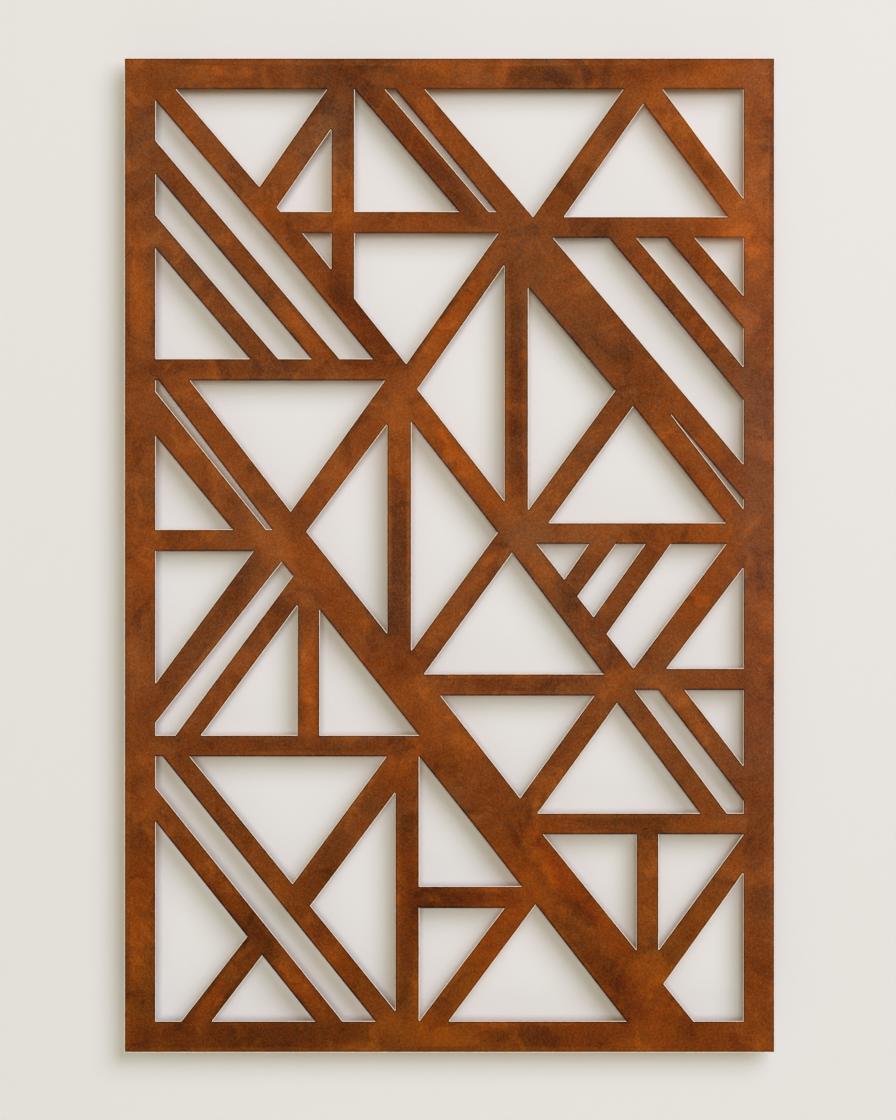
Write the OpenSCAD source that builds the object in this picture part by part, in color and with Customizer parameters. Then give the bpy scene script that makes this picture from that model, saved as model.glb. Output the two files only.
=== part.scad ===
// Laser-cut metal screen: one flat sheet of weathering steel with an open lattice of
// straight strips, hung clear of a wall on six hidden keyhole hangers.
//
// X runs to the right and Z upwards as the screen is seen from the front. The wall is the
// plane y = 0, the screen stands in front of it on the -Y side, and the origin is the
// middle of the pattern of wall fixings, level with the middle of the screen.

/* [Screen sheet] */
// Width of the sheet
panel_w = 1177; // [1000:1:1400]
// Height of the sheet
panel_h = 1800; // [1500:1:2100]
// Thickness of the sheet
sheet_t = 3; // [2:0.5:6]
// Width of the plain border round the lattice
border_w = 57; // [50:1:70]
// Clear gap between the wall and the back of the sheet
wall_gap = 36; // [34:1:60]

/* [Lattice rows: heights above the middle of the screen] */
// Upper row, left part
row_a_left = 602.5; // [598:0.5:607]
// Upper row, right part
row_a_right = 593.5; // [589:0.5:598]
// Second row, left part only
row_b = 336; // [332:1:340]
// Middle row, left part
row_c_left = 27; // [23:1:31]
// Middle row, right part
row_c_right = 39.5; // [35:0.5:44]
// Third row, between the wide diagonal and the middle
row_d_left = -234.5; // [-238:0.5:-231]
// Third row, right part
row_d_right = -224.5; // [-228:0.5:-221]
// Fourth row, left part only
row_e = -345; // [-349:1:-341]
// Fourth row, right part
row_f = -486; // [-490:1:-482]
// Lowest row, a short bridge left of the wide diagonal
row_g = -619; // [-623:1:-615]

/* [Lattice posts: distances from the middle of the screen] */
// Upper left post
post_a = -193; // [-197:1:-189]
// Upper middle post
post_b = 121; // [118:1:124]
// Middle post
post_c = -91; // [-94:1:-88]
// Short post low on the left
post_d = -255; // [-258:1:-252]
// Lower middle post
post_e = -76.5; // [-79:0.5:-74]
// Lower right post
post_f = 358.5; // [355:0.5:362]

/* [Keyhole hangers] */
// Distance of each hanger from the middle of the screen, sideways
hanger_x = 560; // [555:1:562]
// Height of the top hangers above the middle of the screen, and of the bottom ones below it
hanger_z = 820; // [700:1:830]
// Width of the folded bracket behind the border
bracket_w = 40; // [36:1:44]
// Thickness of the bracket's strip
bracket_t = 2.5; // [2:0.5:3]
// Inside radius of the bracket's bends
bend_r = 1.5; // [1:0.5:2]
// Diameter of the hanger boss at the wall
boss_d = 26; // [24:1:30]
// Diameter of the boss's head, which passes through the keyhole
head_d = 22; // [20:1:23]
// Thickness of the boss's head
head_t = 5; // [4.5:0.5:6]
// Diameter of the neck that the screen hangs on
neck_d = 14; // [13:0.5:15]
// Diameter of the hole for the wall screw
screw_hole_d = 6.6; // [5.5:0.1:7]
// Diameter of the countersink for the wall screw's head
screw_sink_d = 12.6; // [11:0.1:12.8]
// How far the screen is lifted to bring the bosses to the wide end of the keyholes
lift = 18; // [18:0.5:20]
// Thickness of the rubber pad between boss and wall
pad_t = 2; // [1:0.5:3]

/* [Fasteners] */
// Thread diameter of the weld studs on the back of the sheet
stud_d = 6; // [5:1:6]
// Length of the weld studs
stud_len = 12; // [11:1:12]
// Outer diameter of the washers
washer_d = 12; // [11:0.5:13]
// Thickness of the washers
washer_t = 1.6; // [1:0.1:1.8]
// Width across the flats of the nuts
nut_af = 10; // [9:0.5:10]
// Height of the nuts
nut_h = 5; // [4:0.1:5.2]

/* [Hidden] */
$fn = 64;
fit_gap = 0.3;

// Size of the sheet that the lattice's sizes are drawn for: another sheet stretches them.
drawn_w = 1177;
drawn_h = 1800;
stretch = [panel_w / drawn_w, panel_h / drawn_h];

// Middle lines of the border, on the drawn sheet
rim_r = 560;
rim_l = -rim_r;
rim_t = 871.5;
rim_b = -rim_t;

// Usual widths of the strips
fine_w = 39;
strip_w = 40;
post_w = 44;

// Level strips: left end, right end, height, width
LEVEL_STRIPS = [
    [-310, post_b, row_a_left, strip_w],
    [post_b, rim_r, row_a_right, fine_w],
    [rim_l, post_c, row_b, strip_w],
    [rim_l, -290, row_c_left, strip_w],
    [post_b, rim_r, row_c_right, fine_w],
    [-75, 312, row_d_left, strip_w],
    [325, rim_r, row_d_right, strip_w],
    [rim_l, -42, row_e, fine_w],
    [110, rim_r, row_f, fine_w],
    [post_e, 150, row_g, strip_w],
];

// Upright strips: place, upper end, lower end, width
UPRIGHT_STRIPS = [
    [post_a, rim_t, 462, post_w - 1],
    [post_b, row_a_left, row_c_right, post_w],
    [post_c, 325, -215, post_w + 1],
    [post_d, -50, row_e, strip_w + 1],
    [post_e, row_e, rim_b, post_w],
    [post_f, row_f, -760, strip_w + 1],
];

// Strips that fall to the right: upper end x and z, lower end x and z, width at each end
FALLING_STRIPS = [
    // from the top border and the upper left
    [-546, rim_t, -270, 549, 42, 42],
    [-300, 588.5, -84, 321, 47.5, 42],
    [rim_l, 754, -208, row_b, strip_w, strip_w],
    [rim_l, 619, -319, row_b, strip_w, strip_w],
    [-168, rim_t, 61, row_a_left, 42.5, 42],
    [-95, rim_t, 134, 598, 41.5, 46],
    [338, rim_t, 544, row_a_right, 44.5, 43.5],
    // below the upper row, on the right
    [143.5, row_a_right, rim_r, 99.5, 44, 41.5],
    [112, 564, 345, 287.5, 56, 56],
    [345, 291, 540.5, row_c_right, 45.5, 41.5],
    [298, row_a_right, rim_r, 277, fine_w, fine_w],
    [403, row_a_right, rim_r, 407, fine_w, fine_w],
    // middle left and middle
    [rim_l, 290.5, -346, row_c_left, 51.5, 47.5],
    [-513, row_b, -276.5, row_c_left, 45.5, 48],
    [post_c, 307, post_b, 34, 45.5, 45.5],
    [post_b, 32, 325, row_d_left, 45.5, 51],
    // the wide diagonal: its upper length, two lengths side by side, and its lower length
    [-290, row_c_left, -16, -319.5, 70, 70],
    [-101, -185, 126, -477, 50, 50],
    [-44, -333, 99, -513, 56, 56],
    [83.5, -467.5, 417.5, -890, 88, 97.5],
    // lower left and lower right
    [-510, row_e, -86, rim_b, 39, 41],
    [rim_l, -416, -196, rim_b, fine_w, strip_w],
    [304, row_d_left, 492, row_f, strip_w, strip_w],
    [387, row_d_right, rim_r, -449, fine_w, fine_w],
];

// Strips that rise to the right: upper end x and z, lower end x and z, width at each end
RISING_STRIPS = [
    // upper part
    [-199, 835, -338, 634, 48, 48.5],
    [354, 860, 166, row_a_right, 46, 47],
    [post_b, 593, post_c, 291, 43, 44.5],
    // middle part
    [post_c, 309, -298, row_c_left, 52, 45],
    [325, 296, 129, 26, 44.5, 45],
    [115, 43, -87, row_d_left, 44, 45],
    [290, row_c_right, 208, -76, 42, 38],
    [391, row_c_right, 258, -148, fine_w, 38.5],
    [547, row_c_right, 346, -227, 52, 49],
    // lower part
    [-307, row_c_left, rim_l, -305, 55, 43],
    [-258, -35, -487, row_e, fine_w, 38.5],
    [302, row_d_left, 120, row_f, 43, 43],
    [rim_r, -501, 352, -788, 41, 45],
    [-338, -688, -479, rim_b, 43.5, 45.5],
    [post_e, -357, -283, -635, 53, 50.5],
    [142, -616.5, -49, rim_b, 42.5, 44.5],
];

// Names and places of the six hangers, at half steps of the fixing pattern
HANGER_NAMES = ["top_left", "top_right", "middle_left", "middle_right", "bottom_left", "bottom_right"];
HANGER_PLACES = [for (row = [1, 0, -1]) for (side = [-1, 1]) [side * hanger_x, row * hanger_z]];

// Depths in front of the wall, measured along -Y
boss_front = wall_gap - 14.3;
plate_back = boss_front + fit_gap;
neck_front = plate_back + bracket_t + fit_gap;
head_front = neck_front + head_t;
sink_depth = (screw_sink_d - screw_hole_d) / 2;

// Keyhole
slot_w = neck_d + 2 * fit_gap;
keyhole_d = head_d + 1;

// Folded bracket: heights from the neck that it hangs on, and its flanges
plate_top = 20;
plate_bottom = -lift - 20;
flange_len = 24;
stud_top = plate_top + flange_len / 2;
stud_bottom = plate_bottom - flange_len / 2;
STUD_PLACES = [for (p = HANGER_PLACES) for (z = [stud_top, stud_bottom]) [p[0], p[1] + z]];

rust = [0.49, 0.26, 0.13];
stainless = [0.72, 0.72, 0.70];
zinc = [0.66, 0.67, 0.68];
black_rubber = [0.09, 0.09, 0.09];

// A straight strip of the lattice between two points, which may widen from end to end
module strip(from, to, from_w, to_w) {
    a = [from[0] * stretch[0], from[1] * stretch[1]];
    b = [to[0] * stretch[0], to[1] * stretch[1]];
    along = (b - a) / norm(b - a);
    across = [-along[1], along[0]];
    polygon([
        a + across * from_w / 2,
        a - across * from_w / 2,
        b - across * to_w / 2,
        b + across * to_w / 2,
    ]);
}

module sheet_outline() {
    square([panel_w, panel_h], center = true);
}

module border() {
    difference() {
        sheet_outline();
        square([panel_w - 2 * border_w, panel_h - 2 * border_w], center = true);
    }
}

module lattice() {
    for (s = LEVEL_STRIPS)
        strip([s[0], s[2]], [s[1], s[2]], s[3], s[3]);
    for (s = UPRIGHT_STRIPS)
        strip([s[0], s[1]], [s[0], s[2]], s[3], s[3]);
    for (s = concat(FALLING_STRIPS, RISING_STRIPS))
        strip([s[0], s[1]], [s[2], s[3]], s[4], s[5]);
}

// Lays a flat outline, drawn in X and Z, between two depths in front of the wall
module slab(back, front) {
    translate([0, -back, 0])
        rotate([90, 0, 0])
            linear_extrude(front - back)
                children();
}

// A round bar along the depth, between two depths in front of the wall
module round_bar(back, front, diameter) {
    translate([0, -back, 0])
        rotate([90, 0, 0])
            cylinder(h = front - back, d = diameter);
}

// Stands what it is given at one place of a pattern, X and Z
module at(place) {
    translate([place[0], 0, place[1]])
        children();
}

module screen_sheet() {
    color(rust)
        slab(wall_gap, wall_gap + sheet_t)
            intersection() {
                union() {
                    border();
                    lattice();
                }
                sheet_outline();
            }
}

// A quarter bend of the bracket's strip: its centre, and the signs of the quarter that it fills
module bend(centre, side) {
    translate(centre)
        intersection() {
            difference() {
                circle(r = bend_r + bracket_t);
                circle(r = bend_r);
            }
            scale(side)
                square(bend_r + bracket_t + 1);
        }
}

// Side view of the folded bracket, drawn with depth to the left and height upwards
module bracket_fold() {
    turn = bend_r + bracket_t;
    // the plate with the keyhole
    translate([-plate_back - bracket_t, plate_bottom + turn])
        square([bracket_t, plate_top - plate_bottom - 2 * turn]);
    for (end = [[plate_bottom, -1], [plate_top, 1]]) {
        z = end[0];
        up = end[1];
        // bend from the plate to the web, the web, and the bend from the web to the flange
        bend([-plate_back - turn, z - up * turn], [1, up]);
        translate([-wall_gap + turn, min(z, z - up * bracket_t)])
            square([wall_gap - plate_back - 2 * turn, bracket_t]);
        bend([-wall_gap + turn, z + up * bend_r], [-1, -up]);
        // the flange against the back of the sheet
        translate([-wall_gap, up > 0 ? z + bend_r : z - flange_len])
            square([bracket_t, flange_len - bend_r]);
    }
}

module keyhole() {
    translate([0, -lift])
        circle(d = keyhole_d);
    translate([-slot_w / 2, -lift])
        square([slot_w, lift]);
    circle(d = slot_w);
}

module hanger_bracket() {
    color(zinc)
        difference() {
            translate([-bracket_w / 2, 0, 0])
                rotate([90, 0, 90])
                    linear_extrude(bracket_w)
                        bracket_fold();
            slab(plate_back - 1, plate_back + bracket_t + 1)
                keyhole();
            for (z = [stud_bottom, stud_top])
                at([0, z])
                    round_bar(wall_gap - bracket_t - 1, wall_gap + 1, stud_d + 0.6);
        }
}

// Turned boss: a spacer with a neck and a head, bored and countersunk for the wall screw
module hanger_boss() {
    color(stainless)
        translate([0, -pad_t, 0])
            rotate([90, 0, 0])
                rotate_extrude()
                    polygon([
                        [screw_hole_d / 2, 0],
                        [boss_d / 2, 0],
                        [boss_d / 2, boss_front - pad_t],
                        [neck_d / 2, boss_front - pad_t],
                        [neck_d / 2, neck_front - pad_t],
                        [head_d / 2, neck_front - pad_t],
                        [head_d / 2, head_front - pad_t],
                        [screw_sink_d / 2, head_front - pad_t],
                        [screw_hole_d / 2, head_front - pad_t - sink_depth],
                    ]);
}

module wall_pad() {
    color(black_rubber)
        difference() {
            round_bar(0, pad_t, boss_d);
            round_bar(-1, pad_t + 1, screw_hole_d);
        }
}

module weld_studs() {
    color(stainless)
        for (p = STUD_PLACES)
            at(p)
                round_bar(wall_gap - stud_len, wall_gap, stud_d);
}

module stud_washers() {
    washer_front = wall_gap - bracket_t;
    color(zinc)
        for (p = STUD_PLACES)
            at(p)
                difference() {
                    round_bar(washer_front - washer_t, washer_front, washer_d);
                    round_bar(washer_front - washer_t - 1, washer_front + 1, stud_d + 0.4);
                }
}

module stud_nuts() {
    nut_front = wall_gap - bracket_t - washer_t;
    color(zinc)
        for (p = STUD_PLACES)
            at(p)
                difference() {
                    translate([0, -nut_front + nut_h, 0])
                        rotate([90, 0, 0])
                            cylinder(h = nut_h, d = nut_af / cos(30), $fn = 6);
                    round_bar(nut_front - nut_h - 1, nut_front + 1, stud_d);
                }
}

screen_sheet();
for (i = [0 : 5]) {
    at(HANGER_PLACES[i]) hanger_bracket();
    at(HANGER_PLACES[i]) hanger_boss();
    at(HANGER_PLACES[i]) wall_pad();
}
weld_studs();
stud_washers();
stud_nuts();
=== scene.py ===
# %% [markdown]
# # A laser-cut screen of weathering steel
# The object is one tall sheet of steel, 1177 by 1800 by 3 mm, cut into a border and a lattice of
# straight strips. It hangs 36 mm in front of a wall on six hidden bosses, so that light from the
# upper right throws a soft shadow beside every strip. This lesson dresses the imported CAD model:
# the shapes that matter are already in the frame, and each cell adds one piece or one finish.

# %% Load the frame
import math
import bmesh
import bpy
import numpy as np
from mathutils import Matrix, Vector
from mathutils.geometry import delaunay_2d_cdt
from mathutils.noise import noise_vector, seed_set


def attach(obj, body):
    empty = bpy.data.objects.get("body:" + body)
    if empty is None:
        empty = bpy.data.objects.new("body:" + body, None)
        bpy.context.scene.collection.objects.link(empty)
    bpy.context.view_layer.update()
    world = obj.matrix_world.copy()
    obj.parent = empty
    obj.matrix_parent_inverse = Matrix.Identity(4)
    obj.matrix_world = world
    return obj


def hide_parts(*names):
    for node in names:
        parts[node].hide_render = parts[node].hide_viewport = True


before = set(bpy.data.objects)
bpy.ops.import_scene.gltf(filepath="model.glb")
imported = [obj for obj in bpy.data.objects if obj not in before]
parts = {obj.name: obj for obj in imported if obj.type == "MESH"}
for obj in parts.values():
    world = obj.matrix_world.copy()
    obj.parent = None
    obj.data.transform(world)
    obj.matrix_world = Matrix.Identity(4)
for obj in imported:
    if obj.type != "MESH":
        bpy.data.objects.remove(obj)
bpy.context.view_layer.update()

mm = 0.001

# %% [markdown]
# ## The camera
# The photograph was taken straight on: the border's opposite edges stay parallel and no cut wall
# shows on one side only. A long lens at four and a half metres gives that look. The distance is
# worked out from the height that the picture covers at the front of the sheet, so no value has to
# be found by trial.

# %% Place the camera
sheet_back, sheet_front = -36 * mm, -39 * mm
picture_height, picture_middle = 2.0272, (-2.7 * mm, -8.6 * mm)
lens, film = 80.0, 36.0  # both in mm
distance = picture_height / 2 * lens / (film / 2)
camera = bpy.data.objects.new("camera", bpy.data.cameras.new("camera"))
camera.data.lens, camera.data.sensor_width = lens, film
camera.location = (picture_middle[0], sheet_front - distance, picture_middle[1])
camera.rotation_euler = (math.pi / 2, 0, 0)
bpy.context.scene.collection.objects.link(camera)
bpy.context.scene.camera = camera
bpy.context.scene.view_settings.view_transform = "Standard"
print("camera stands", round(distance, 2), "m in front of the sheet")

# %% [markdown]
# ## A short language for materials
# A material is a net of nodes, and long nets are hard to read as single calls. `Wire` holds one
# output socket, and Python's own arithmetic on it adds Math nodes. `Finish` holds one material and
# has a single method that adds any other node: its kind, then its settings, then its sockets.
# Colours are mixed as the eye counts them and turned into a shader's linear numbers at the end.

# %% Wire and Finish
gamma = 2.2


class Wire:
    """One output socket of a finish, on which arithmetic adds Math nodes."""

    def __init__(self, finish, socket):
        self.finish, self.socket = finish, socket

    def math(self, operation, *operands):
        sockets = dict(enumerate(operands))
        return self.finish.add("ShaderNodeMath", {"operation": operation}, sockets)

    def __add__(self, other):
        return self.math("ADD", self, other)

    def __sub__(self, other):
        return self.math("SUBTRACT", self, other)

    def __mul__(self, other):
        return self.math("MULTIPLY", self, other)

    def __rsub__(self, other):
        return self.math("SUBTRACT", other, self)

    __radd__, __rmul__ = __add__, __mul__

    def __abs__(self):
        return self.math("ABSOLUTE", self)

    def at_most(self, other):
        return self.math("MINIMUM", self, other)

    def between(self, low, high):
        """0 below low, 1 above high, and a smooth step from one to the other."""
        sockets = {"Value": self, "From Min": low, "From Max": high}
        return self.finish.add("ShaderNodeMapRange", {"interpolation_type": "SMOOTHSTEP"}, sockets)


class Finish:
    """One material, lamp or studio air under construction."""

    def __init__(self, holder):
        self.holder = bpy.data.materials.new(holder) if isinstance(holder, str) else holder
        self.holder.use_nodes = True
        self.tree = self.holder.node_tree
        self.tree.nodes.clear()

    def add(self, kind, settings=None, sockets=None, out=0):
        """One node of any kind. It gives the output that out names or counts."""
        node = self.tree.nodes.new(kind)
        for key, value in (settings or {}).items():
            setattr(node, key, value)
        for key, value in (sockets or {}).items():
            if isinstance(value, Wire):
                self.tree.links.new(value.socket, node.inputs[key])
            else:
                node.inputs[key].default_value = value
        return None if out is None else Wire(self, node.outputs[out])

    def vector(self, operation, first, second, out=0):
        sockets = {0: first, 1: second}
        return self.add("ShaderNodeVectorMath", {"operation": operation}, sockets, out)

    def shift(self, where, offset):
        return self.vector("ADD", where, offset)

    def stretch(self, where, factors):
        return self.vector("MULTIPLY", where, factors)

    def cloud(self, where, size, seed, detail=2.0, roughness=0.5, swirl=0.0):
        """Noise round zero whose largest blotches measure about size metres."""
        elsewhere = self.shift(where, (seed, 2.7 * seed, 5.3 * seed))
        sockets = {"Vector": elsewhere, "Scale": 1 / size, "Detail": detail, "Roughness": roughness,
                   "Distortion": swirl}
        return self.add("ShaderNodeTexNoise", {}, sockets) - 0.5

    def mixed(self, factor, first, second):
        """From the first colour to the second. A Mix node's colours are its sockets 6 and 7."""
        sockets = {0: factor, 6: first, 7: second}
        return self.add("ShaderNodeMix", {"data_type": "RGBA"}, sockets, out=2)

    def tinted(self, start, *steps):
        """A colour as the eye counts it: a start plus amounts along directions."""
        total = start
        for amount, direction in steps:
            sockets = {0: direction, "Scale": amount}
            step = self.add("ShaderNodeVectorMath", {"operation": "SCALE"}, sockets)
            total = self.shift(total, step)
        return total

    def to_linear(self, colour):
        """The same colour in a shader's numbers, kept just above black."""
        above_black = self.vector("MAXIMUM", colour, (0.01, 0.01, 0.01))
        return self.add("ShaderNodeGamma", {}, {"Color": above_black, "Gamma": gamma})

    def surface(self, fixed, varying, bump=None):
        """Ends the material in a Principled shader, with an optional height for its bump."""
        sockets = dict(fixed, **varying)
        if bump:
            height, depth = bump
            relief = {"Height": height, "Distance": depth, "Strength": 1.0}
            sockets["Normal"] = self.add("ShaderNodeBump", {}, relief)
        return self.ended(self.add("ShaderNodeBsdfPrincipled", {}, sockets))

    def ended(self, shader, kind="ShaderNodeOutputMaterial"):
        """Joins the shader to the output, and gives back what was under construction."""
        self.add(kind, {}, {"Surface": shader}, out=None)
        return self.holder


def paint(red, green, blue):
    """An 8-bit colour as a linear one, with alpha."""
    return tuple((v / 255) ** gamma for v in (red, green, blue)) + (1.0,)


backdrop = paint(232, 229, 224)
print("the backdrop's paint is", [round(v, 3) for v in backdrop])

# %% [markdown]
# ## The wall and the floor
# The wall is scenery, a pale warm white plane at the depth where the rubber pads touch it. It is
# painted on one side only: it can be looked through from behind, and the lamps shine through it, so
# that the back of the screen can be seen in full light.

# %% Build the wall and the floor
def one_sided(finish, shader):
    """Clear when seen from behind and to light on its way to a lamp, painted to all else."""
    behind = finish.add("ShaderNodeNewGeometry", out="Backfacing")
    to_lamp = finish.add("ShaderNodeLightPath", out="Is Shadow Ray")
    clear = finish.add("ShaderNodeBsdfTransparent")
    unseen = (behind + to_lamp).at_most(1.0)
    return finish.ended(finish.add("ShaderNodeMixShader", {}, {0: unseen, 1: shader, 2: clear}))


def plaster(name, low, high):
    """Fine plaster, whose paint goes from low to high between 1.3 m below and above the middle:
    a painted gradient of light, darker at the foot.
    """
    finish = Finish(name)
    where = finish.add("ShaderNodeTexCoord", out="Object")
    up = finish.add("ShaderNodeSeparateXYZ", {}, {0: where}, out="Z")
    # painted light and shade: the paint is darker at the foot and lighter at the top
    colour = finish.mixed(up.between(-1.3, 1.3), low, high)
    grain = finish.cloud(where, 0.004, 3.0, 3.0, 0.6) + finish.cloud(where, 0.05, 9.0, 2.0)
    relief = finish.add("ShaderNodeBump", {}, {"Height": grain, "Distance": 0.15 * mm})
    shader = finish.add("ShaderNodeBsdfDiffuse", {}, {"Color": colour, "Normal": relief})
    return one_sided(finish, shader)


def flat_plane(name, corners, material):
    """A plane that is scenery, not a piece of the object."""
    mesh = bpy.data.meshes.new(name)
    mesh.from_pydata(corners, [], [(0, 1, 2, 3)])
    mesh.materials.append(material)
    plane = bpy.data.objects.new(name, mesh)
    bpy.context.scene.collection.objects.link(plane)


# the wall reaches far to the left and down, where a view from the upper right looks past the screen
low, left, right, top = -3.4, -5.0, 1.7, 1.6
near, far = -2.5, 2.5
# the wall's paint goes a little lighter from foot to top, a painted gradient of light and shade
wall_paint = plaster("pale_wall", paint(227, 224, 220), paint(233, 230, 226))
flat_plane("wall", [(left, 0, low), (right, 0, low), (right, 0, top), (left, 0, top)], wall_paint)
floor_paint = plaster("pale_floor", backdrop, backdrop)
floor_corners = [(near, near, low), (far, near, low), (far, far, low), (near, far, low)]
flat_plane("floor", floor_corners, floor_paint)
print("wall from", left, "to", right, "m, floor at", low, "m")

# %% [markdown]
# ## The light
# The photograph's shadows come from three kinds of light. A lamp from near the camera casts a
# narrow shadow that hardly shows. A large round lamp to the upper right, like a bright window,
# casts the wide soft one. It stands close by, so its shadows reach farther to the side at the left
# border than at the right one, and farther down near the bottom. A lamp that close would leave the
# far side of the wall dark, so its light is set not to weaken on the way. The air gives the rest.
# One more lamp, behind the wall, is for the back of the screen.

# %% Hang the lamps
def lamp(name, kind, towards, strength, colour):
    """A lamp that shines on the screen from that side."""
    light = bpy.data.lights.new(name, kind)
    light.energy, light.color = strength, colour
    holder = bpy.data.objects.new(name, light)
    holder.rotation_mode = "QUATERNION"
    holder.rotation_quaternion = Vector(towards).to_track_quat("Z", "Y")
    bpy.context.scene.collection.objects.link(holder)
    return holder


def sun(name, towards, width, strength, colour):
    """A soft lamp far away: where it stands, how wide it looks in degrees, and its light."""
    lamp(name, "SUN", towards, strength, colour).data.angle = math.radians(width)


def window(name, place, width, strength, colour):
    """A round lamp close by, so many metres wide, whose light doesn't weaken on the way."""
    holder = lamp(name, "AREA", place, strength, colour)
    holder.location, holder.visible_camera = place, False
    holder.data.shape, holder.data.size = "DISK", width
    glow = Finish(holder.data)
    even = glow.add("ShaderNodeLightFalloff", {}, {"Strength": 1.0}, out="Constant")
    glow.ended(glow.add("ShaderNodeEmission", {}, {"Strength": even}), "ShaderNodeOutputLight")


sun("front_light", (-0.05, -1.0, 0.03), 23, 1.04, (0.985, 1.015, 0.92))
window("window_light", (2.60, -4.20, 2.60), 4.9, 6.40, (0.94, 0.995, 1.235))
sun("back_light", (-0.5, 1.0, 0.7), 50, 2.2, (1.0, 1.0, 1.0))

# %% [markdown]
# ## The air
# The air lights everything faintly and warmly from all sides. To the camera, and in steel that
# mirrors it, it shows the pale colour of the backdrop, so that no dark room is seen in the hangers.

# %% Fill the air
air_colour, air_strength = (1.22, 1.0, 0.44, 1.0), 0.176
world = bpy.data.worlds.new("studio")
bpy.context.scene.world = world
air = Finish(world)
camera_ray, mirrored, through = (air.add("ShaderNodeLightPath", out=f"Is {kind} Ray")
                                 for kind in ("Camera", "Glossy", "Transmission"))
seen = (camera_ray + mirrored + through).at_most(1.0)
lit = air.add("ShaderNodeBackground", {}, {"Color": air_colour, "Strength": air_strength})
shown = air.add("ShaderNodeBackground", {}, {"Color": backdrop, "Strength": 1.0})
air.ended(air.add("ShaderNodeMixShader", {}, {0: seen, 1: lit, 2: shown}), "ShaderNodeOutputWorld")
print("the air gives a light of", air_strength)

# %% [markdown]
# ## Reading the cut lines
# The CAD sheet already has every cut-out in its exact place. Its front face is a set of loose
# triangles, and an edge that belongs to only one of them lies on a cut line. Chaining those edges
# gives one closed loop per cut-out and one for the outline, so the detailed sheet can't drift away
# from the CAD model.

# %% Chain the cut lines
def cut_lines(node, depth):
    """Closed loops of (x, z) round a node's flat face at that depth, the largest first."""
    corners = np.empty(len(node.data.vertices) * 3)
    node.data.vertices.foreach_get("co", corners)
    corners = corners.reshape(-1, 3)
    neighbours, edges = {}, {}
    for face in node.data.polygons:
        if all(abs(corners[v][1] - depth) < 1e-5 for v in face.vertices):
            ring = [tuple(np.round(corners[v][[0, 2]], 6)) for v in face.vertices]
            for a, b in zip(ring, ring[1:] + ring[:1]):
                edges[frozenset((a, b))] = edges.get(frozenset((a, b)), 0) + 1
    for pair, count in edges.items():
        if count == 1:
            for a, b in (tuple(pair), tuple(pair)[::-1]):
                neighbours.setdefault(a, []).append(b)
    loops = []
    while neighbours:
        start = next(iter(neighbours))
        loop, here = [start], neighbours.pop(start)[0]
        while here != start:
            loop.append(here)
            here = next(p for p in neighbours.pop(here) if p != loop[-2])
        loops.append(tidy_loop(loop))
    return sorted(loops, key=turning, reverse=True)


def turning(loop):
    """Twice the loop's area, positive where it runs anticlockwise."""
    return sum(a[0] * b[1] - b[0] * a[1] for a, b in zip(loop, loop[1:] + loop[:1]))


def tidy_loop(loop, straight=0.004):
    """Drops the points on a straight line, by the sine of the bend, and runs anticlockwise."""
    kept = []
    for before, here, after in zip(loop[-1:] + loop[:-1], loop, loop[1:] + loop[:1]):
        a, b = Vector(here) - Vector(before), Vector(after) - Vector(here)
        if abs(a.normalized().cross(b.normalized())) > straight:
            kept.append(here)
    return kept if turning(kept) > 0 else kept[::-1]


outline, *cutouts = cut_lines(parts["screen_sheet"], sheet_front)
print("outline has", len(outline), "corners;", len(cutouts), "cut-outs have",
      sum(map(len, cutouts)))

# %% [markdown]
# ## Stains laid one by one
# Rust does not grow evenly: where water stood the patina is dark brown, and where it dried fast it
# is orange. Random noise gives the right character but never the right place, so the larger stains
# are listed one by one, each an oval with a soft, wandering edge. The list says where each one is,
# how far it reaches, how it is turned, and how much lighter or darker it makes the rust. A second,
# shorter list of tints makes places greyer or more orange. A mesh can carry such values on its
# points, which costs a render far less than eighty ovals in a shader.

# %% Lay the stains
# Blender draws its noise anew from the clock at every start, so one draw is settled on here
seed_set(1795532770)
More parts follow.
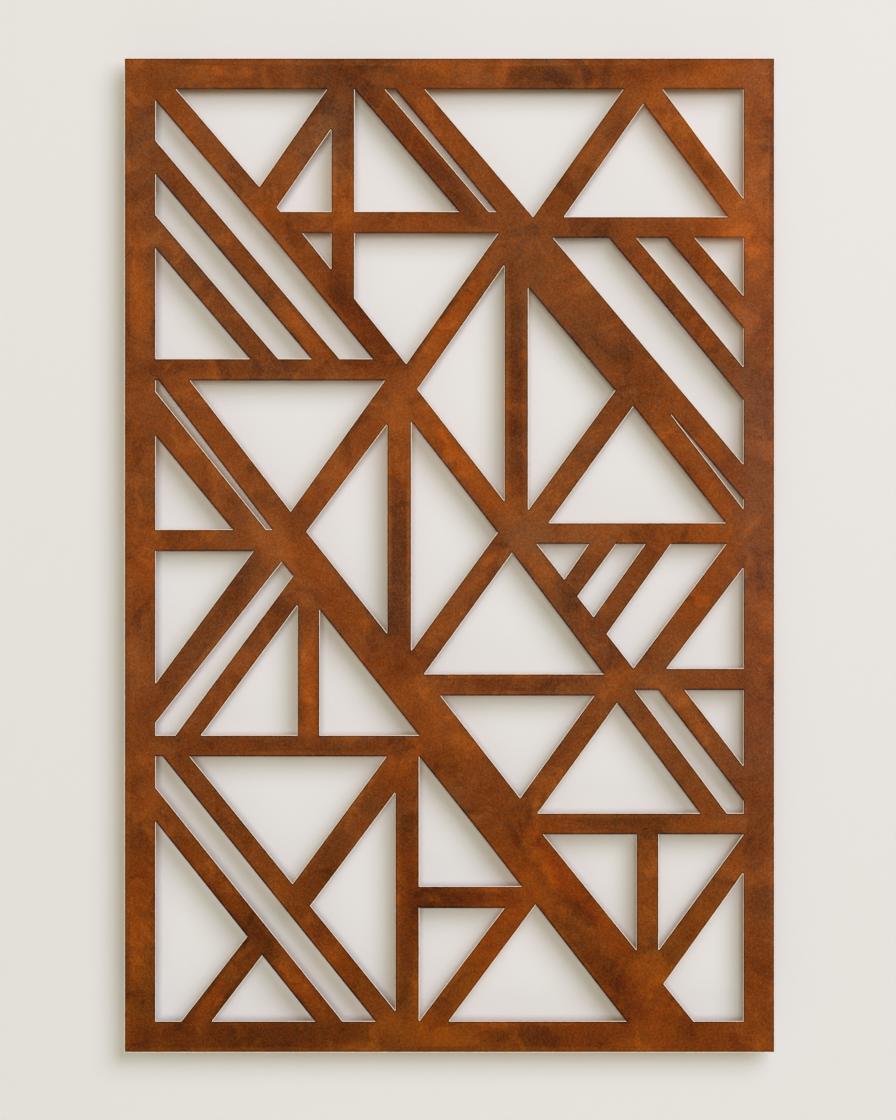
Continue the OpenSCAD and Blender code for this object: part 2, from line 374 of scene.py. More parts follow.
# across, up, half length, half width (mm), turn (degrees), lighter or darker (of 255)
stains = np.array([
    (-445, 885, 55, 30, 0, 16), (10, 880, 45, 30, 0, 18), (400, 795, 95, 70, 0, 22),
    (545, 600, 60, 110, 0, 24), (220, 725, 105, 35, 57, 16), (-195, 610, 25, 25, 0, 24),
    (15, 440, 140, 25, 58, 20), (15, 200, 135, 25, -53, 20), (-90, 230, 25, 75, 0, 18),
    (-325, 30, 55, 30, -50, 16), (-250, -225, 20, 110, 0, 14), (165, -25, 35, 25, 0, 16),
    (430, -285, 70, 25, -52, 16), (-80, -365, 30, 45, 0, 14), (173, -572, 36, 16, -52, 28),
    (376, -785, 60, 22, -52, 15), (-35, -860, 80, 35, 0, 18), (-565, 460, 25, 85, 0, 17),
    (-580, -245, 25, 110, 0, 8), (-570, -705, 25, 90, 0, 12), (110, 45, 45, 35, 0, -4),
    (-315, 545, 40, 20, -52, 14), (-260, 410, 45, 20, -52, 14), (480, 120, 75, 30, -50, 9),
    (-435, 190, 80, 20, -52, 8), (-195, 715, 20, 60, 0, -12), (-25, 695, 140, 25, -52, -30),
    (120, 315, 25, 195, 0, -28), (-90, -10, 25, 150, 0, -30), (-460, -160, 165, 25, 53, -20),
    (-260, -345, 165, 20, 0, -20), (-185, -505, 165, 25, 56, -18), (-345, -705, 45, 40, 0, -22),
    (-80, -635, 25, 195, 0, -26), (35, -615, 85, 20, 0, -26), (265, -755, 120, 26, -52, -20),
    (-360, -870, 230, 30, 0, -22), (200, -875, 130, 25, 0, -18), (-200, 865, 215, 25, 0, -12),
    (200, 865, 110, 20, 0, -14), (130, -235, 130, 20, 0, -20), (290, -480, 100, 20, 0, -20),
    (-380, 425, 115, 25, -52, -14), (-160, 430, 125, 25, -52, -18), (-300, 340, 235, 20, 0, -14),
    (-580, -480, 25, 95, 0, -10), (560, -580, 25, 155, 0, -14), (345, 460, 110, 45, -52, -8),
    (-415, -515, 180, 25, -52, -9), (-195, 515, 25, 70, 0, -18), (146, -546, 66, 9, -56, -30),
    (233, -650, 42, 13, -50, -26), (173, -622, 46, 13, -52, 18), (306, -767, 60, 14, -52, -14),
    (430, -854, 40, 14, -50, -14), (525, 848, 120, 50, 0, 18), (570, 715, 35, 90, 0, 14),
], float)
# the same, but greyer or more orange
tints = np.array([
    (47, 851, 45, 35, 0, 9), (-234, 770, 60, 25, 52, 8), (-194, 616, 25, 60, 0, -8),
    (-270, 480, 100, 22, -52, -9), (-325, 625, 40, 25, -52, -7), (19, 462, 70, 25, 55, -9),
    (19, 172, 100, 25, -53, -11), (146, 28, 50, 35, 0, 6), (-225, -54, 130, 28, -52, -9),
    (-255, -226, 22, 100, 0, -8), (237, -606, 130, 32, -52, -14), (-35, -850, 45, 35, 0, -8),
    (-563, 480, 25, 110, 0, -8), (-568, -660, 25, 120, 0, -8), (-450, -805, 60, 22, 52, -8),
    (200, 734, 90, 25, 52, -9), (345, 842, 50, 40, 0, -7), (-515, 815, 45, 25, -52, -7),
    (545, 208, 30, 250, 0, 6), (-542, 661, 30, 150, 0, 6), (463, 770, 90, 25, -52, 7),
    (309, -226, 35, 30, 0, -6), (-108, -389, 50, 30, 0, -7),
], float)


def laid(marks, x, z):
    """The sum of all marks at a place, of 255."""
    # blotches of about 70 and 20 mm push the place aside, so that the edges wander
    wide, fine = noise_vector(Vector((x, 3.0, z)) * 14), noise_vector(Vector((x, 7.0, z)) * 45)
    drift = wide * 0.016 + fine * 0.006
    across, up = (x + drift.x) / mm - marks[:, 0], (z + drift.z) / mm - marks[:, 1]
    turn = np.radians(marks[:, 4])
    along = (across * np.cos(turn) + up * np.sin(turn)) / marks[:, 2]
    aside = (up * np.cos(turn) - across * np.sin(turn)) / marks[:, 3]
    # a mark is whole up to half of its size, and gone at one and a half
    reach = np.clip(1.5 - np.hypot(along, aside), 0, 1)
    return float((marks[:, 5] * reach * reach * (3 - 2 * reach)).sum())


for kind, marks in (("stains", stains), ("tints", tints)):
    print(len(marks), kind, "from", marks[:, 5].min(), "to", marks[:, 5].max())

# %% [markdown]
# ## The sheet
# A laser leaves three things that a plain extrusion lacks: a fine chamfer on the front, on which a
# pale highlight is painted, a band a few millimetres wide where the heat darkened the steel, and
# cut walls with fine upright ridges.
# Every cut-out is convex, so its line can be moved outward into the metal with an arc round each
# corner. A stack of such rings makes the edge, and the flat face between the last rings is filled
# with triangles. Each point also stores how far it is from the cut, for the material to read.

# %% Rings round a cut line
def moved(loop, by, arc):
    """The loop moved into the metal, as a short list of points for each corner."""
    ring = []
    for before, here, after in zip(loop[-1:] + loop[:-1], loop, loop[1:] + loop[:1]):
        a = (Vector(here) - Vector(before)).normalized()
        b = (Vector(after) - Vector(here)).normalized()
        first, last = Vector((a.y, -a.x)), Vector((b.y, -b.x))
        if arc:
            turn = first.angle_signed(last)
            out = [Vector((first.x * math.cos(t) + first.y * math.sin(t),
                           first.y * math.cos(t) - first.x * math.sin(t)))
                   for t in (turn * k / arc for k in range(arc + 1))]
        else:
            out = [-(first + last) / (1 + first.dot(last))]
        ring.append([Vector(here) + v * by for v in out])
    return ring


def inside(points, loop, margin=0.0):
    """Which points lie inside a convex, anticlockwise loop, by at least a margin."""
    held = np.ones(len(points), bool)
    for a, b in zip(loop, loop[1:] + loop[:1]):
        side = (b[0] - a[0]) * (points[:, 1] - a[1]) - (b[1] - a[1]) * (points[:, 0] - a[0])
        held &= side > margin * math.dist(a, b)
    return held


# distance from the cut wall and depth below the face, both in mm, for each ring of a stack
band = 7.0
front_rings = [(0.0, 0.5), (1.3, 0.0), (band, 0.0)]
back_rings = [(0.0, 0.3), (0.3, 0.0), (band, 0.0)]
print(len(front_rings), "rings round each cut on the front and", len(back_rings), "on the back")

# %% [markdown]
# ## The sheet's mesh
# Faces join each ring to the next one, and the first ring of the front to that of the back, which
# makes the cut wall. The flat face between the last rings is cut into triangles that keep every
# ring. The stains are stored on points, so the front also gets a grid of loose ones, shaken a
# little so that it leaves no pattern.

# %% Grow the sheet's mesh
FRONT, WALL, BACK = 0, 1, 2


class SheetMaker:
    """Grows the sheet's mesh ring by ring."""

    def __init__(self):
        self.mesh = bmesh.new()
        self.distance = self.mesh.verts.layers.float.new("from_cut")
        self.stain = self.mesh.verts.layers.float.new("stain")
        self.tint = self.mesh.verts.layers.float.new("tint")

    def point(self, x, y, z, by):
        """One point, with its distance from the cut in mm, its stain and its tint."""
        made = self.mesh.verts.new((x, y, z))
        made[self.distance] = by / mm
        made[self.stain], made[self.tint] = laid(stains, x, z) / 255, laid(tints, x, z) / 255
        return made

    def ring(self, loop, by, depth, arc):
        """The points of one ring, corner by corner. On the cut itself a corner is one point."""
        made = []
        for points in moved(loop, by, arc):
            if by == 0:
                points = points[:1]
            corner = [self.point(p.x, depth, p.y, by) for p in points]
            made.append(corner * (arc + 1 if by == 0 else 1))
        return made

    def join(self, one, other, slot):
        """Faces between two rings, triangles where one ring has a single point."""
        flat, flat_other = sum(one, []), sum(other, [])
        for k in range(len(flat)):
            after = (k + 1) % len(flat)
            quad = [flat[k], flat[after], flat_other[after], flat_other[k]]
            around = [v for n, v in enumerate(quad) if v not in quad[:n]]
            if len(around) > 2:
                self.mesh.faces.new(around).material_index = slot

    def fill(self, rings, slot):
        """Triangles between the first ring, which is the outermost, and all the others."""
        loops = [sum(ring, []) for ring in rings]
        points = sum(loops, [])
        edges, start = [], 0
        for loop in loops:
            count = len(loop)
            edges += [(start + k, start + (k + 1) % count) for k in range(count)]
            start += count
        if slot == FRONT:  # loose points in between carry the stains
            points += self.scattered(loops, points[0].co.y)
        flat = [Vector((v.co.x, v.co.z)) for v in points]
        places, _, faces, origin, _, _ = delaunay_2d_cdt(flat, edges, [], 0, 1e-7)
        middle = np.array([sum((places[v] for v in face), Vector((0, 0))) / len(face)
                           for face in faces])
        keep = inside(middle, [(v.co.x, v.co.z) for v in loops[0]])
        for loop in loops[1:]:
            keep &= ~inside(middle, [(v.co.x, v.co.z) for v in loop])
        for face, wanted in zip(faces, keep):
            if wanted:
                self.mesh.faces.new([points[origin[v][0]] for v in face]).material_index = slot

    def scattered(self, loops, depth, step=0.011, clear=0.003):
        """Points of a shaken grid that lie on the metal, clear of every ring."""
        chance = np.random.default_rng(5)
        grid = np.meshgrid(np.arange(-0.6, 0.6, step), np.arange(-0.91, 0.91, step))
        grid = np.stack(grid, -1).reshape(-1, 2)
        grid = grid + chance.uniform(-0.3, 0.3, grid.shape) * step
        corners = [[(v.co.x, v.co.z) for v in loop] for loop in loops]
        keep = inside(grid, corners[0], clear)
        for loop in corners[1:]:
            keep &= ~inside(grid, loop, -clear)
        return [self.point(x, depth, z, band * mm) for x, z in grid[keep]]


def build_sheet(name):
    """The outline's rings have plain corners, and a cut-out's have an arc of three steps."""
    maker = SheetMaker()
    inner = {FRONT: [], BACK: []}
    faces = ((FRONT, front_rings, sheet_front, 1), (BACK, back_rings, sheet_back, -1))
    for loop, arc in [(outline, 0)] + [(c, 3) for c in cutouts]:
        stacks = {}
        for slot, rings, face, sign in faces:
            stack = [maker.ring(loop, by * mm, face + sign * down * mm, arc) for by, down in rings]
            for one, other in zip(stack, stack[1:]):
                maker.join(one, other, slot)
            inner[slot].append(stack[-1])
            stacks[slot] = stack[0]
        maker.join([c[:1] for c in stacks[FRONT]], [c[:1] for c in stacks[BACK]], WALL)
    for slot, rings in inner.items():
        maker.fill(rings, slot)
    bmesh.ops.recalc_face_normals(maker.mesh, faces=maker.mesh.faces)
    mesh = bpy.data.meshes.new(name)
    maker.mesh.to_mesh(mesh)
    open_edges = sum(not e.is_manifold for e in maker.mesh.edges)
    print(name, len(mesh.vertices), "points,", len(mesh.polygons), "faces,", open_edges,
          "open edges,", round(maker.mesh.calc_volume() * 1e6, 1), "cm3")
    maker.mesh.free()
    return mesh


sheet_mesh = build_sheet("rusted_sheet")

# %% [markdown]
# ## Weathering-steel rust
# The patina of weathering steel is dense and matt. Measured on the photograph, its colours spread
# along two lines: one from dark brown to light orange-brown, and one from saturated orange to a
# greyer brown. So the finish starts from the mean colour and adds an amount along each line. The
# stains and tints of the mesh set those amounts, and on top of them come clouds, lighter blooms,
# darker scars, a speckle of about 7 mm and a grain of about 3 mm. Along each cut lies the line that
# the laser burnt. Between that line and the cut a pale steel-coloured highlight is painted, on the
# edges that face up or right, toward the light, and all round the outline.

# %% Mix the rust
# the third colour is the pale steel of the highlight painted along the edges
front_rust, back_rust, edge_highlight_colour = (0.486, 0.254, 0.100), (0.455, 0.245, 0.11), (255, 224, 190)
light_line, grey_line, even_line = (0.86, 0.47, 0.15), (-0.45, 0.30, 0.84), (0.58, 0.58, 0.58)
half_width, half_height = 588.5 * mm, 900 * mm


def painted_edge_highlight(finish, where, across, height, from_cut):
    """A frayed line of painted highlight on edges that face up or right, and all round the outside.
    """
    facing = finish.add("ShaderNodeTexCoord", out="Normal")
    lit = finish.vector("DOT_PRODUCT", facing, (1.12, 0, 1.9), "Value").between(-0.75, -0.15)
    inset = 2.5 * mm
    beside = (abs(across) - (half_width - inset)).between(0.0, 1 * mm)
    above = (abs(height) - (half_height - inset)).between(0.0, 1 * mm)
    frayed = from_cut + 0.9 * finish.cloud(where, 0.010, 9.0, 3.0, 0.7)
    return (1 - frayed.between(0.95, 1.35)) * (lit + (beside + above)).at_most(1.0)


def rust(name, mean, bold=1.0, edge_highlight=1.0):
    """Rust round a mean colour: how bold its pattern is, and how strong its painted edge highlight
    is.
    """
    finish = Finish(name)
    where = finish.add("ShaderNodeTexCoord", out="Object")
    across, height = (finish.add("ShaderNodeSeparateXYZ", {}, {0: where}, out=axis)
                      for axis in ("X", "Z"))
    stain, tint, from_cut = (finish.add("ShaderNodeAttribute", {"attribute_name": kind}, out="Fac")
                             for kind in ("stain", "tint", "from_cut"))
    # the clouds' numbers are size in metres, seed, detail, roughness and swirl
    clouds = finish.cloud(where, 0.11, 2.0, 4.0, 0.66, 0.6)
    blooms = finish.cloud(where, 0.060, 3.0, 5.0, 0.60, 0.8).between(0.04, 0.14)
    scars = finish.cloud(where, 0.075, 8.0, 5.0, 0.60, 0.8).between(0.05, 0.15)
    speckle = finish.cloud(where, 0.0075, 5.0, 2.0, 0.6)
    grain = finish.cloud(where, 0.0032, 4.0, 2.0, 0.6)
    broad_grey = finish.cloud(where, 0.25, 6.0, 4.0, 0.6)
    fine_grey = finish.cloud(where, 0.010, 7.0, 2.0, 0.7)
    # by the distance from the cut in mm: the burnt line, and a band that is a little greyer
    burnt = (1 - from_cut.between(2.4, 3.8)) * (0.55 + 0.45 * from_cut.between(1.0, 1.4))
    greyed = 1 - from_cut.between(2.0, 6.5)
    # by the place in metres: deeper toward the foot of the sheet, paler on its right border
    deeper, paler = 1 - height.between(-1.3, -0.1), across.between(0.45, 0.57)
    pattern = 0.38 * clouds + 0.070 * blooms - 0.070 * scars + 0.08 * speckle
    light = 1.1 * stain + bold * pattern - 0.24 * burnt
    grey = tint + bold * (0.20 * broad_grey + 0.17 * fine_grey)
    colour = finish.to_linear(finish.tinted(
        mean, (light, light_line), (grey, grey_line), (0.44 * grain, even_line),
        (greyed, (-0.01, 0.012, 0.03)), (deeper, (-0.05, -0.048, -0.11)),
        (paler, (0.0, 0.012, 0.045))))
    # a pale steel-coloured highlight painted along the edges that face the light
    painted_highlight = edge_highlight * painted_edge_highlight(finish, where, across, height, from_cut)
    colour = finish.mixed(painted_highlight, colour, paint(*edge_highlight_colour))
    fixed = {"Metallic": 0.0, "Specular IOR Level": 0.1}
    varying = {"Base Color": colour, "Roughness": 0.80 + 0.3 * grain - 0.2 * clouds}
    return finish.surface(fixed, varying, (grain + 0.6 * speckle, 0.18 * mm))


rusted = {FRONT: rust("rusted_front", front_rust), BACK: rust("rusted_back", back_rust, 1.2, 0.0)}
for material in rusted.values():
    print(material.name, "has", len(material.node_tree.nodes), "nodes")

# %% [markdown]
# ## The cut walls
# The beam leaves fine upright ridges in the wall of a cut, and rust browns them. Noise that is
# stretched twenty times through the thickness draws the ridges, and plain noise the patches.

# %% Dress the sheet
def cut_wall(name):
    """The laser's kerf: fine upright ridges through the thickness, browned by rust."""
    finish = Finish(name)
    where = finish.add("ShaderNodeTexCoord", out="Object")
    ridges = finish.cloud(finish.stretch(where, (1, 0.05, 1)), 0.0006, 5.0, 2.0)
    patches = finish.cloud(where, 0.02, 8.0, 3.0, 0.6)
    light = 0.5 * ridges + 0.4 * patches
    colour = finish.to_linear(finish.tinted((0.40, 0.22, 0.12), (light, light_line)))
    fixed = {"Metallic": 0.0, "Specular IOR Level": 0.3}
    varying = {"Base Color": colour, "Roughness": 0.7 + 0.3 * ridges}
    return finish.surface(fixed, varying, (ridges, 0.1 * mm))


for material in (rusted[FRONT], cut_wall("cut_wall"), rusted[BACK]):
    sheet_mesh.materials.append(material)
sheet = bpy.data.objects.new("rusted_sheet", sheet_mesh)
bpy.context.scene.collection.objects.link(sheet)
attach(sheet, "hung_panel")
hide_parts("screen_sheet")
print("the sheet wears", [material.name for material in sheet_mesh.materials])

# %% [markdown]
# ## Turned parts
# Bosses, pads and washers are round about the axis of a hole, so each is one outline spun about
# that axis, as on a lathe. Real edges are never perfectly sharp: each corner of the outline is cut
# back a few tenths of a millimetre and rounded, which gives the fine bright line that makes metal
# read as metal. A UV map keeps the angle and the way along the outline, so that a finish can draw
# rings that follow the turning.

# %% Spin an outline
def softened(outline, size):
    """A closed outline with each corner rounded over that length, or 0.4 of a short side."""
    made = []
    corners = [Vector(corner) for corner in outline]
    for before, here, after in zip(corners[-1:] + corners[:-1], corners, corners[1:] + corners[:1]):
        start, stop = (here.lerp(p, min(size, 0.4 * (p - here).length) / (p - here).length)
                       for p in (before, after))
        made += [start, start.lerp(here, 0.5).lerp(here.lerp(stop, 0.5), 0.5), stop]
    return made


def spun(outline, reach=lambda angle, radius: radius, steps=64):
    """A closed outline of (radius, depth) in mm, spun about Y, with angle and length as UV."""
    mesh = bpy.data.meshes.new("spun")
    count = len(outline)
    angles = [math.tau * k / steps for k in range(steps)]
    corners = [(reach(a, r) * mm * math.cos(a), y * mm, reach(a, r) * mm * math.sin(a))
               for a in angles for r, y in outline]
    faces = []
    for here, there in ((k * count, (k + 1) % steps * count) for k in range(steps)):
        faces += [(here + j, there + j, there + (j + 1) % count, here + (j + 1) % count)
                  for j in range(count)]
    mesh.from_pydata(corners, [], faces)
    lengths = [0.0]
    for a, b in zip(outline, outline[1:] + outline[:1]):
        lengths.append(lengths[-1] + (Vector(b) - Vector(a)).length * mm)
    turned = mesh.uv_layers.new(name="turned")
    for n, loop in enumerate(turned.data):
        k, j, corner = n // 4 // count, n // 4 % count, n % 4
        loop.uv = ((k + (corner in (1, 2))) / steps, lengths[j + (corner in (2, 3))])
    return finished_mesh(mesh)


def finished_mesh(mesh, sharp=35):
    """Merges doubles, turns the faces outward and keeps only real corners sharp."""
    work = bmesh.new()
    work.from_mesh(mesh)
    bmesh.ops.remove_doubles(work, verts=work.verts, dist=1e-6)
    bmesh.ops.recalc_face_normals(work, faces=work.faces)
    for face in work.faces:
        face.smooth = True
    for edge in work.edges:
        edge.smooth = edge.calc_face_angle(3.0) < math.radians(sharp)
    work.to_mesh(mesh)
    work.free()
    return mesh


boss_outline = softened([(3.3, -2), (13, -2), (13, -21.7), (7, -21.7), (7, -24.8), (11, -24.8),
                         (11, -29.8), (6.3, -29.8), (3.3, -26.8)], 0.5)
pad_outline = softened([(3.3, 0), (13, 0), (13, -2), (3.3, -2)], 0.5)
boss_mesh, pad_mesh = spun(boss_outline), spun(pad_outline)
print("boss", len(boss_mesh.polygons), "faces, pad", len(pad_mesh.polygons), "faces")

# %% [markdown]
# ## Six hangers
# One boss is turned and copied to six places along the borders. Every piece needs the same few
# lines: its finish, the body that it rides on and the CAD node that it stands for. One function
# says them all.

# %% Put a piece in its place
def placed(mesh, place):
    """A copy of a mesh, moved to a place on the wall."""
    moved_mesh = mesh.copy()
    moved_mesh.transform(Matrix.Translation((place[0], 0, place[1])))
    return moved_mesh


def show(name, mesh, material, body, node):
    """Puts a finished mesh in the scene: it rides on its body and stands for its CAD node."""
    mesh.name = name
    mesh.materials.clear()
    mesh.materials.append(material)
    piece = bpy.data.objects.new(name, mesh)
    bpy.context.scene.collection.objects.link(piece)
    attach(piece, body)
    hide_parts(node)
    return piece


hanger_x, hanger_z = 560 * mm, 820 * mm
rows = {"top": hanger_z, "middle": 0.0, "bottom": -hanger_z}
hangers = {f"{row}_{side}": (sign * hanger_x, z)
           for row, z in rows.items() for side, sign in (("left", -1), ("right", 1))}
print("hangers at", sorted(hangers))

# %% [markdown]
# ## Finishes for the hidden hardware
# Stainless steel from a lathe shows fine rings, zinc plating is a little milky and clouded, and
# rubber is nearly black with a trace of dust. Metal is mostly what it mirrors, so its variation
# goes into roughness and a very shallow bump, with only a little in its colour.

# %% Stainless steel, zinc and rubber
def turned_steel(name):
    """Fine rings along the outline, and a haze that breaks the mirror."""
    finish = Finish(name)
    rings = finish.add("ShaderNodeUVMap", {"uv_map": "turned"})
    where = finish.add("ShaderNodeTexCoord", out="Object")
    groove = finish.cloud(finish.stretch(rings, (2.0, 9000.0, 1.0)), 1.0, 2.0, 2.0)
    haze = finish.cloud(where, 0.006, 4.0, 3.0)
    light = 0.25 * haze + 0.12 * groove
    colour = finish.to_linear(finish.tinted((0.78, 0.775, 0.76), (light, even_line)))
    varying = {"Base Color": colour, "Roughness": 0.28 + 0.3 * haze + 0.15 * groove}
    return finish.surface({"Metallic": 1.0}, varying, (groove, 0.02 * mm))


def zinc_plate(name):
    """A milky, clouded plating over the fine lines of rolled steel."""
    finish = Finish(name)
    where = finish.add("ShaderNodeTexCoord", out="Object")
    clouding = finish.cloud(where, 0.012, 3.0, 3.0, 0.6)
    rolled = finish.cloud(finish.stretch(where, (1, 1, 0.06)), 0.0008, 6.0, 2.0)
    blueing = finish.cloud(where, 0.03, 8.0, 2.0)
    colour = finish.to_linear(finish.tinted(
        (0.74, 0.75, 0.77), (0.35 * clouding, (0.55, 0.58, 0.60)),
        (0.25 * blueing, (-0.4, 0.1, 0.9))))
    varying = {"Base Color": colour, "Roughness": 0.42 + 0.5 * clouding + 0.2 * rolled}
    return finish.surface({"Metallic": 1.0}, varying, (rolled, 0.02 * mm))


def dusty_rubber(name):
    """Nearly black, with pores and a trace of dust."""
    finish = Finish(name)
    where = finish.add("ShaderNodeTexCoord", out="Object")
    pores = finish.cloud(where, 0.0007, 3.0, 2.0, 0.6)
    dust = finish.cloud(where, 0.005, 5.0, 3.0, 0.6)
    light = 0.25 * dust + 0.1 * pores
    colour = finish.to_linear(finish.tinted((0.20, 0.20, 0.205), (light, (0.6, 0.58, 0.54))))
    fixed = {"Metallic": 0.0, "Specular IOR Level": 0.4}
    varying = {"Base Color": colour, "Roughness": 0.75 + 0.4 * dust}
    return finish.surface(fixed, varying, (pores, 0.05 * mm))


stainless, zinc = turned_steel("turned_stainless"), zinc_plate("zinc_plate")
rubber = dusty_rubber("dusty_rubber")
for spot, place in hangers.items():
    show(f"turned_boss_{spot}", placed(boss_mesh, place), stainless,
         "wall_hangers", f"boss_{spot}")
    show(f"rubber_pad_{spot}", placed(pad_mesh, place), rubber,
         "wall_hangers", f"pad_{spot}")
print(len(hangers), "bosses and pads are dressed")

# %% [markdown]
# ## Folded brackets
# Each bracket is a 40 mm strip of plated steel, folded twice at each end, with a keyhole cut in its
# plate. The CAD node has the folds already, so a copy of its mesh is enough: its loose triangles
# are merged, the flat ones joined into whole faces, and every sharp edge gets a small bevel, as the
# tumbling before plating leaves it.

# %% Refine the brackets
def refined(node, bevel):
    """A copy of a CAD node's mesh with whole faces and a bevel on every sharp edge."""
    work = bmesh.new()
    work.from_mesh(parts[node].data)
    bmesh.ops.remove_doubles(work, verts=work.verts, dist=1e-6)
    flat = math.radians(0.5)
    bmesh.ops.dissolve_limit(work, angle_limit=flat, verts=work.verts, edges=work.edges)
    corners = [e for e in work.edges if e.calc_face_angle(0.0) > math.radians(50)]
    bmesh.ops.bevel(work, geom=corners, offset=bevel, segments=2, profile=0.5, affect="EDGES",
                    clamp_overlap=True)
    mesh = bpy.data.meshes.new(node)
    work.to_mesh(mesh)
    work.free()
    return finished_mesh(mesh)


for spot in hangers:
    bracket = show(f"folded_bracket_{spot}", refined(f"bracket_{spot}", 0.3 * mm), zinc,
                   "hung_panel", f"bracket_{spot}")
print("each bracket has", len(bracket.data.polygons), "faces")

# %% [markdown]
# ## Studs, washers and nuts
# Twelve sets of the same three pieces hold the brackets, so one pattern of each is enough. The
# stud's thread is a true helix, the washer is stamped with rounded edges, and the nut's corners are
# cut by a cone on both faces.

# %% Patterns of the fasteners
def threaded_rod(start, stop, root, crest, pitch, steps=24):
    """A rod along Y with a true helix: the depth of a point goes up with its angle."""
    length, rows_along = stop - start, 4 * (int((stop - start) / pitch) + 2)
    # how steep a flank is, and how both ends are chamfered, the welded one a little deeper
    steep, neck, lead = 1.4, 0.2, 0.4
    corners = []
    for k in range(steps + 1):
        for j in range(rows_along + 1):
            along = min(max((j / 4 - 1 + k / steps) * pitch, 0), length)
            flank = abs((along / pitch - k / steps) % 1 * 2 - 1)
            radius = root + (crest - root) * min(1.0, steep * flank)
            radius = min(radius, root - neck + min(along + lead, length - along)) * mm
            angle = math.tau * k / steps
            corners.append((radius * math.cos(angle), -(start + along) * mm,
                            radius * math.sin(angle)))
    row = rows_along + 1
    faces = [(k * row + j, (k + 1) * row + j, (k + 1) * row + j + 1, k * row + j + 1)
             for k in range(steps) for j in range(rows_along)]
    mesh = bpy.data.meshes.new("threaded_rod")
    mesh.from_pydata(corners, [], faces)
    work = bmesh.new()
    work.from_mesh(mesh)
    bmesh.ops.remove_doubles(work, verts=work.verts, dist=2e-6)
    bmesh.ops.holes_fill(work, edges=[e for e in work.edges if e.is_boundary])
    work.to_mesh(mesh)
    work.free()
    return finished_mesh(mesh)


across_flats = 10.0


def hexagon(angle, radius):
    """Holds a radius inside a hexagon with corners on the X axis."""
    return min(radius, across_flats / 2 / math.cos(angle % (math.pi / 3) - math.pi / 6))


def nut(front, height):
    """A hexagon nut whose corners are cut by a cone of 30 degrees on both faces."""
    back, slope = front - height, math.tan(math.radians(30))
    bore, mouth, lead, cone = 3.05, 3.4, 0.4, across_flats * 0.475
    # five steps from the inner edge of the cone to just past the corners
    steps_out = [cone + 0.21 * k for k in range(1, 6)]
    upper = [(r, -front + (r - cone) * slope) for r in steps_out]
    lower = [(r, -back - (r - cone) * slope) for r in steps_out[::-1]]
    outline = [(bore, -back - lead), (bore, -front + lead), (mouth, -front), (cone, -front),
               *upper, *lower, (cone, -back), (mouth, -back)]
    return spun(outline, hexagon, 72)


stud_mesh = threaded_rod(24, 36, 2.5, 3.0, 1.0)
washer_mesh = spun(softened([(3.2, -31.9), (6, -31.9), (6, -33.5), (3.2, -33.5)], 0.35))
nut_mesh = nut(31.9, 5.0)
for mesh in (stud_mesh, washer_mesh, nut_mesh):
    print("pattern with", len(mesh.polygons), "faces")

# %% [markdown]
# ## Twelve places
# What repeats is work for Geometry Nodes: a tree sets a pattern on every point of a mesh that has
# one point at each place. Each nut is turned a little differently, by a random angle from a fixed
# seed, because nobody tightens twelve nuts to the same angle.

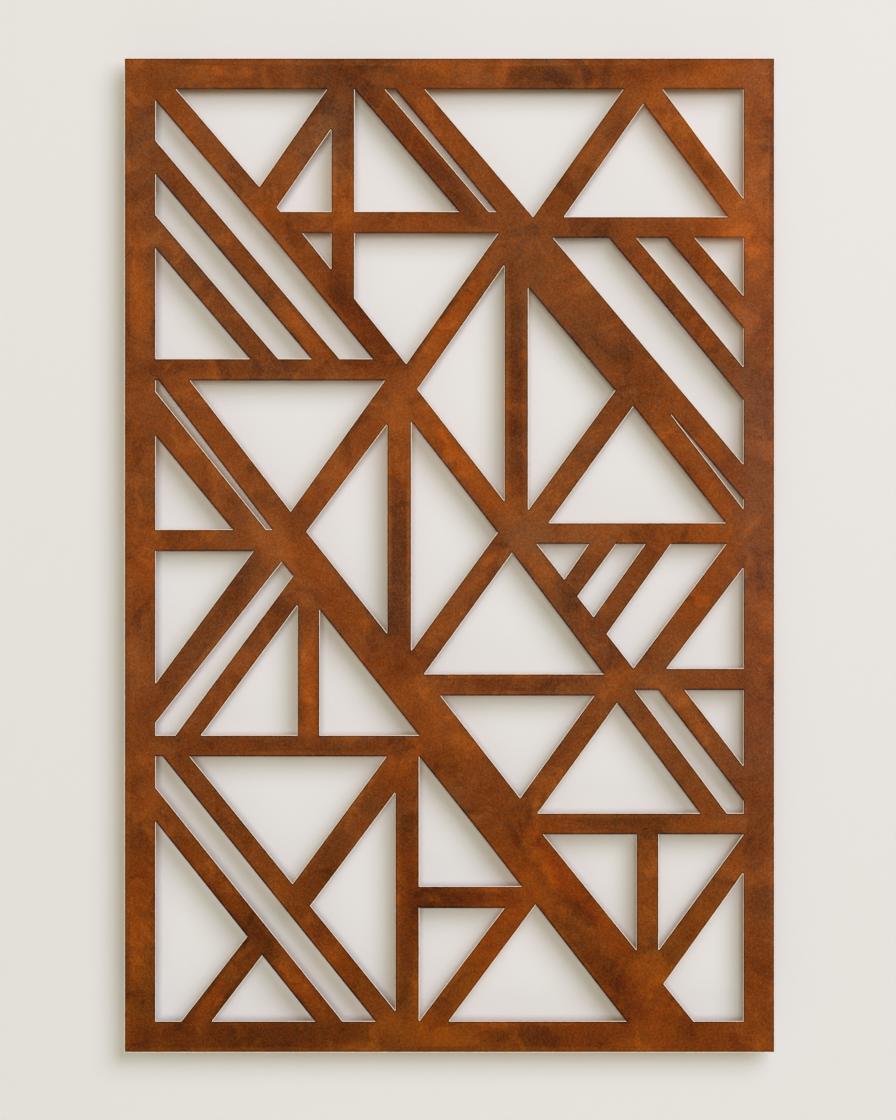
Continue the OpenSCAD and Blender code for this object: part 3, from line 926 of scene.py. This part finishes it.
# %% A tree that sets a pattern on points
def set_on_points(name):
    """The tree, and the names of its inputs by their labels."""
    tree = bpy.data.node_groups.new(name, "GeometryNodeTree")
    sockets = {}
    for label, kind in (("Points", "NodeSocketGeometry"), ("Pattern", "NodeSocketObject"),
                        ("Largest turn", "NodeSocketFloat"), ("Seed", "NodeSocketInt"),
                        ("Finish", "NodeSocketMaterial")):
        made = tree.interface.new_socket(label, in_out="INPUT", socket_type=kind)
        sockets[label] = made.identifier
    tree.interface.new_socket("Pieces", in_out="OUTPUT", socket_type="NodeSocketGeometry")
    given, spots, copied, angle, turned, set_down, real, dressed, result = (
        tree.nodes.new(kind) for kind in (
            "NodeGroupInput", "GeometryNodeMeshToPoints", "GeometryNodeObjectInfo",
            "FunctionNodeRandomValue", "ShaderNodeCombineXYZ", "GeometryNodeInstanceOnPoints",
            "GeometryNodeRealizeInstances", "GeometryNodeSetMaterial", "NodeGroupOutput"))
    angle.data_type = "FLOAT"
    for start, stop in (
            (given.outputs["Points"], spots.inputs["Mesh"]),
            (spots.outputs["Points"], set_down.inputs["Points"]),
            (given.outputs["Pattern"], copied.inputs["Object"]),
            (copied.outputs["Geometry"], set_down.inputs["Instance"]),
            (given.outputs["Largest turn"], angle.inputs[3]),
            (given.outputs["Seed"], angle.inputs["Seed"]),
            (angle.outputs[1], turned.inputs["Y"]),
            (turned.outputs[0], set_down.inputs["Rotation"]),
            (set_down.outputs["Instances"], real.inputs["Geometry"]),
            (real.outputs[0], dressed.inputs["Geometry"]),
            (given.outputs["Finish"], dressed.inputs["Material"]),
            (dressed.outputs[0], result.inputs["Pieces"])):
        tree.links.new(start, stop)
    return tree, sockets


fastener_tree, fastener_inputs = set_on_points("set_on_points")
above, below, seed = 32 * mm, -50 * mm, 7
stud_places = [(x, z + dz) for x, z in hangers.values() for dz in (above, below)]


def fasteners(name, pattern_mesh, material, turn, node):
    """One pattern on all twelve places, each turned by up to that angle, as a single piece."""
    places = bpy.data.meshes.new(name)
    places.from_pydata([(x, 0, z) for x, z in stud_places], [], [])
    holder = bpy.data.objects.new(name, places)
    pattern = bpy.data.objects.new("pattern", pattern_mesh)
    for thing in (holder, pattern):
        bpy.context.scene.collection.objects.link(thing)
    growth = holder.modifiers.new("set_on_points", "NODES")
    growth.node_group = fastener_tree
    for label, value in (("Pattern", pattern), ("Largest turn", turn), ("Seed", seed),
                         ("Finish", material)):
        growth[fastener_inputs[label]] = value
    grown = holder.evaluated_get(bpy.context.evaluated_depsgraph_get())
    mesh = bpy.data.meshes.new_from_object(grown)
    for thing in (holder, pattern):
        bpy.data.objects.remove(thing)
    show(name, mesh, material, "hung_panel", node)
    print(name, "has", len(mesh.polygons), "faces")


fasteners("threaded_studs", stud_mesh, stainless, 0.0, "weld_studs")
fasteners("rounded_washers", washer_mesh, zinc, 0.0, "stud_washers")
fasteners("chamfered_nuts", nut_mesh, zinc, math.pi / 3, "stud_nuts")
